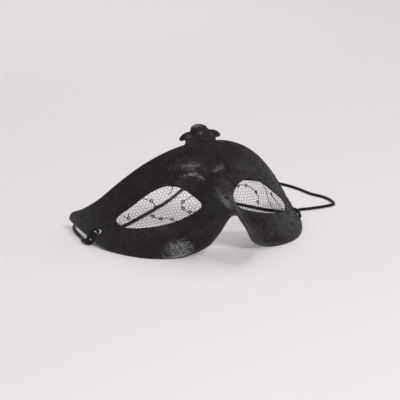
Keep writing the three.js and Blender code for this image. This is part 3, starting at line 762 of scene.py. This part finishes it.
def lace_finish(name, roughness, specular, dark, light):
    """Black thread set in glue: its tone wanders in patches a few millimetres wide and in fine grain, and
    both break up the gloss."""
    material, shader, node, feed = finish(name, roughness=roughness, specular=specular, sheen=LACE_SHEEN)
    grain = noise(node, scale=900.0, detail=3.0, Roughness=0.7)
    patch = noise(node, scale=210.0, detail=2.0, Distortion=0.6)
    clear_patch = node("ShaderNodeMapRange", {"Value": patch, "From Min": 0.32, "From Max": 0.68})
    shares = {"Factor": 0.6, 2: grain, 3: clear_patch.outputs["Result"]}
    both = node("ShaderNodeMix", shares, data_type="FLOAT").outputs[0]
    two_tone(shader, node, feed, both, dark, light)
    dullness = {"Value": both, "To Min": roughness - 0.08, "To Max": roughness + 0.22}
    feed(shader["Roughness"], node("ShaderNodeMapRange", dullness).outputs["Result"])
    low = node("ShaderNodeBump", {"Height": patch, "Strength": 0.6, "Distance": 0.0006})
    fine = {"Height": grain, "Strength": 0.7, "Distance": 0.00025, "Normal": low.outputs["Normal"]}
    feed(shader["Normal"], node("ShaderNodeBump", fine).outputs["Normal"])
    return material


ground_finish = lace_finish(
    "glued_lace", roughness=0.17, specular=0.32, dark=(0.0045, 0.0033, 0.0027),
    light=(0.0220, 0.0160, 0.0132)
)
thread_finish = lace_finish(
    "lace_thread", roughness=0.50, specular=0.20, dark=(0.0055, 0.0042, 0.0035),
    light=(0.0235, 0.0175, 0.0146)
)

lace_halves = [
    moulded_half(
        side, LACE_FACE, SHELL_FRONT, SHELL_FRONT, rim_inset=lace_inset, eye_outset=LACE_OVER_EYE,
        raise_by=pucker
    )
    for side in (1, -1)
]
lace_cloth = new_piece("lace_cloth", joined(*lace_halves), ground_finish, ["lace_cover"])
cut_slots(lace_cloth, ease=SLOT_MARGIN / 2)

lace_edge = cut_edge(NET_INSET)
net_from, net_to = net_lines(*NET_FIELD)
kept = inside(net_from, lace_edge) & inside(net_to, lace_edge)
kept &= ~(in_slot(net_from, SLOT_MARGIN) | in_slot(net_to, SLOT_MARGIN))
over_face = threads(net_from[kept], net_to[kept], on_lace)

crest_loop = CREST_CENTRE + (crest_edge - CREST_CENTRE) * CREST_COVERED
crest_from, crest_to = net_lines(*CREST_FIELD)
kept = inside(crest_from, crest_loop) & inside(crest_to, crest_loop)
over_crest = threads(
    crest_from[kept], crest_to[kept], lambda a, b, lift: crest_point(a, b, layer=0.0, lift=lift)
)
lace_net = new_piece("lace_net", joined(over_face, over_crest), thread_finish, ["lace_cover"])

# Vines. The lace's drawing: thin stems of twisted thread that join small sewn rings, run over the eye
# holes and on over the wings and cheeks. Each is a raised cord worked into the net.
RING_RADIUS = 1.15
RING_THREAD = 0.36
RING_STEP = 0.36
RING_POINTS = 19
STEM_THREAD = 0.28
STEM_STEP = 0.8
CORD_SIDES = 6
VINE_LIFT = 0.1
VINES_OVER_EYES = [
    [(-59, 16), (-53.5, 12), (-49.3, 9.9), (-47.6, 6.6), (-46.9, 4.2)],
    [(-73, 3.4), (-68.9, 0.6), (-68.4, 4.6)],
    [(-12, 8.2), (-19, 7.4), (-25.5, 5)],
    [(-25.5, 5), (-27.2, 2), (-26.4, -0.5), (-24.5, -3), (-22.2, -4.1), (-16, -5.2)],
    [(-56, 1.8), (-50.1, -2.2), (-47.4, -4.6), (-44.6, -5.6), (-40.4, -6), (-36.6, -7.6), (-32, -11)],
    [(14.5, 9.5), (22.5, 12.4), (26.6, 13.4), (30.8, 12.6), (35.8, 10.9), (40, 7.3), (40.8, 2.8),
     (38.4, -1.2)],
    [(47.5, 19), (51.6, 13.6), (53.6, 8.4), (52.9, 3.4), (51.2, -3.2), (51.7, -9.5), (54, -13)],
    [(66, 10.5), (59.5, 6), (63.5, -0.5), (66, -5), (67, -9)],
]
RINGS_OVER_EYES = [
    (-49.3, 9.9), (-46.9, 4.2), (-68.9, 0.6), (-25.5, 5), (-26.4, -0.5), (-22.2, -4.1), (-50.1, -2.2),
    (-44.6, -5.6), (-36.6, -7.6), (22.5, 12.4), (30.8, 12.6), (40, 7.3), (38.4, -1.2), (59.5, 6),
    (-54, -29.6), (-59.1, -31.9), (25.7, -29),
]
SPRAYS = 64  # rings with a stem each, scattered over the wings, brows and cheeks
SPRAY_APART = 8.5
SPRAY_FIELD = ((-118, -36), (118, 45))
SPRAY_INSET = 3.5
SPRAY_BEND = 1.4
SPRAY_LONG = (5, 9)
SPRAY_STEPS = 11
CLEAR_OF_EYE = np.array([40, 15])  # half the width and height of the oval kept free of sprays
CLEAR_OF_SLOT = {"end": 3.0, "ring": 4.0}
spray_random = np.random.default_rng(5)


def raised_cord(line, radius, step, closed=False):
    """A round cord laid on the lace along a line drawn in it: its section is a circle across the line
    and up from the lace."""
    at, _ = evenly(np.asarray(line, float), step)
    heading = np.gradient(at, axis=0)
    if closed:
        heading[0] = heading[-1] = at[1] - at[-2]
    heading /= np.linalg.norm(heading, axis=1)[:, None]
    across = np.stack([-heading[:, 1], heading[:, 0]], axis=1)
    angle = np.linspace(0, 2 * np.pi, CORD_SIDES + 1)[None, :]
    width = np.ones((len(at), 1)) * radius
    if not closed:
        at = np.vstack([at[:1], at, at[-1:]])
        across = np.vstack([across[:1], across, across[-1:]])
        width = np.vstack([[[0.0]], width, [[0.0]]])
    spot = at[:, None] + across[:, None] * (width * np.cos(angle))[..., None]
    points = on_lace(spot[..., 0], spot[..., 1], width * np.sin(angle) + VINE_LIFT)
    points[:, -1] = points[:, 0]
    if closed:
        points[-1] = points[0]
    chart = np.broadcast_to(at[:, None], spot.shape)
    return points.reshape(-1, 3), grid_faces(*points.shape[:2]), chart.reshape(-1, 2)


def stem(line):
    """A thin twisted thread along a line."""
    return raised_cord(line, STEM_THREAD, STEM_STEP)


def ring(centre):
    """A small ring of thicker thread: a cord along a circle."""
    angle = np.linspace(0, 2 * np.pi, RING_POINTS)
    line = np.asarray(centre) + RING_RADIUS * np.stack([np.cos(angle), np.sin(angle)], axis=1)
    return raised_cord(line, RING_THREAD, RING_STEP, closed=True)


def spray_line(centre, heading, bend, length):
    """A stem that leaves a ring in one direction and curls away: an arc of even curvature."""
    angle = heading + bend * np.linspace(0, 1, SPRAY_STEPS + 1)
    steps = np.stack([np.cos(angle), np.sin(angle)], axis=1) * length / SPRAY_STEPS
    return np.asarray(centre) + np.vstack([[0, 0], np.cumsum(steps[1:], axis=0)])


def free_of(spot, taken):
    """True for a spot that keeps its distance from all that are taken."""
    return len(taken) == 0 or np.min(np.linalg.norm(np.array(taken) - spot, axis=1)) > SPRAY_APART


spray_edge = cut_edge(SPRAY_INSET)
spray_places = []
while len(spray_places) < SPRAYS:
    spot = spray_random.uniform(*SPRAY_FIELD)
    from_eye = (np.array([abs(spot[0]), spot[1]]) - EYE_CENTRE) / CLEAR_OF_EYE
    within = inside(spot[None], spray_edge)[0]
    if within and np.linalg.norm(from_eye) >= 1 and free_of(spot, spray_places):
        spray_places.append(spot)
vine_parts = [stem(curve_through(knots, per_span=16)) for knots in VINES_OVER_EYES]
vine_parts += [ring(centre) for centre in RINGS_OVER_EYES]
for spot in spray_places:
    heading = spray_random.uniform(0, 2 * np.pi)
    bend = spray_random.uniform(-SPRAY_BEND, SPRAY_BEND)
    line = spray_line(spot, heading, bend, spray_random.uniform(*SPRAY_LONG))
    at_slot = in_slot(line[-1:], CLEAR_OF_SLOT["end"])[0] or in_slot(spot[None], CLEAR_OF_SLOT["ring"])[0]
    if inside(line[-1:], lace_edge)[0] and not at_slot:
        vine_parts += [stem(line), ring(spot)]
lace_vines = new_piece("lace_vines", joined(*vine_parts), thread_finish, ["lace_cover"])

# Knots. Each end of the elastic goes up inside the wing, out through its slot, down the front and round
# the wing's lower edge, and is tied to itself there: the left knot lies just outside the rim, the right
# one inside it.
KNOT_TURNS = 2.0
KNOT_PITCH = 2.6
KNOT_COIL = 1.05  # radius of the helix that the elastic's middle follows
LEFT_KNOT = {"centre": (-91.7, 15.1, 2.4), "along": (0.5, -0.86, 0)}
RIGHT_KNOT = {"centre": (84.4, 21.2, 3.2), "along": (0.3, 0.9, -0.1)}
LOOP_ALONG = {"left": 1.9, "right": -1.9}  # where each loop goes through its slot, along the slot
ROUND_STRIP = [  # how far from the slot's middle line towards the rim, and how deep
    (1.8, 4.6), (0.45, 4.0), (0, 2.5), (0.05, 1), (0.3, -0.4), (1.15, -1.15), (2.4, -1.4),
]
ALONG_WING = np.array([0.0, 1.0, 0.0])


def knot_coil(knot):
    """The wraps of a pulled-tight knot: a helix round the knot's own axis."""
    x = np.array(knot["along"]) / np.linalg.norm(knot["along"])
    y = np.cross(UPWARDS, x)
    y /= np.linalg.norm(y)
    z = np.cross(x, y)
    wound = np.linspace(-0.5, 0.5, 120) * 2 * np.pi * KNOT_TURNS
    coil = np.cos(wound)[:, None] * y + np.sin(wound)[:, None] * z
    line = knot["centre"] + KNOT_COIL * coil + (wound / (2 * np.pi) * KNOT_PITCH)[:, None] * x
    return tube(line, reference=x)


def over_strip(side, along, steps):
    """Points of a loop near its slot, by their distance across the slot and their depth."""
    across, depth = np.array(steps, float).T
    cos, sin = np.cos(SLOT["turn"]), np.sin(SLOT["turn"])
    s = side * (SLOT["s"] + along * cos + across * sin)
    return skin(s, SLOT["v"] + along * sin - across * cos, depth)


left_loop = np.vstack([
    [(-90.4, 15.6, 1.7), (-88.6, 16.4, 1.4), (-86.6, 17.2, 1.6), (-85.4, 17.4, 2.9)],
    over_strip(-1, LOOP_ALONG["left"], [(6.3, 4.2), (4, 4.15), *ROUND_STRIP, (5.5, -1.5), (8.3, -1.9)]),
    [(-92, 14.9, 3.4), (-93.2, 17.8, 2.7), (-94.1, 19.8, 2.3)],
])
right_loop = np.vstack([
    [(84, 19, 4.2)],
    over_strip(1, LOOP_ALONG["right"], [(4, 5), *ROUND_STRIP, (4.6, -1.5)]),
    [skin(104, -7.8, -1.35), (91, 13.9, 2.6), (89.6, 16.6, 1.5), (86.6, 19.4, 2.4), (85.8, 22.4, 3.6)],
    [(87.2, 25.2, 3)],
])
left_knot = new_piece(
    "elastic_knot_left_tied",
    joined(tube(curve_through(left_loop), reference=ALONG_WING), knot_coil(LEFT_KNOT)),
    elastic_finish, ["elastic_knot_left"]
)
right_knot = new_piece(
    "elastic_knot_right_tied",
    joined(tube(curve_through(right_loop), reference=ALONG_WING), knot_coil(RIGHT_KNOT)),
    elastic_finish, ["elastic_knot_right"]
)

# Floor and light. A wide pale floor under even light, with a small soft box in front, a large one high
# up behind that throws the short front shadows, and a weak one from the right.
FLOOR_SIZE = 12.0
FLOOR_COLOUR = (0.88, 0.845, 0.845)
floor_mesh = bpy.data.meshes.new("floor")
floor_corners = np.array([(-1, -1, 0), (1, -1, 0), (1, 1, 0), (-1, 1, 0)]) * FLOOR_SIZE / 2
floor_mesh.from_pydata(floor_corners.tolist(), [], [(0, 1, 2, 3)])
floor = bpy.data.objects.new("floor", floor_mesh)
bpy.context.scene.collection.objects.link(floor)
floor_paint, floor_shader, _, _ = finish("floor_paint", roughness=0.8, specular=0.1)
floor_shader["Base Color"].default_value = (*FLOOR_COLOUR, 1)
floor_mesh.materials.append(floor_paint)


def soft_light(name, azimuth, height, distance, size, power):
    """A soft box, wide by high, that faces the mask from an azimuth and a height in degrees."""
    a, h = np.radians(azimuth), np.radians(height)
    place = Vector((np.sin(a) * np.cos(h), -np.cos(a) * np.cos(h), np.sin(h))) * distance
    data = bpy.data.lights.new(name, "AREA")
    data.shape = "RECTANGLE"
    data.size, data.size_y = size
    data.energy = power
    light = bpy.data.objects.new(name, data)
    light.matrix_world = Matrix.LocRotScale(place, place.to_track_quat("Z", "Y"), None)
    bpy.context.scene.collection.objects.link(light)


soft_light("front_light", azimuth=3, height=40, distance=1.5, size=(0.40, 0.22), power=8.5)
soft_light("back_light", azimuth=170, height=52, distance=4.0, size=(2.6, 2.2), power=70.0)
soft_light("right_light", azimuth=80, height=30, distance=1.6, size=(1.2, 1.0), power=2.0)
world = bpy.data.worlds.new("studio")
world.use_nodes = True
world.node_tree.nodes["Background"].inputs["Color"].default_value = (1.0, 0.98, 0.98, 1)
world.node_tree.nodes["Background"].inputs["Strength"].default_value = 0.33
bpy.context.scene.world = world
bpy.context.scene.view_settings.view_transform = "Standard"
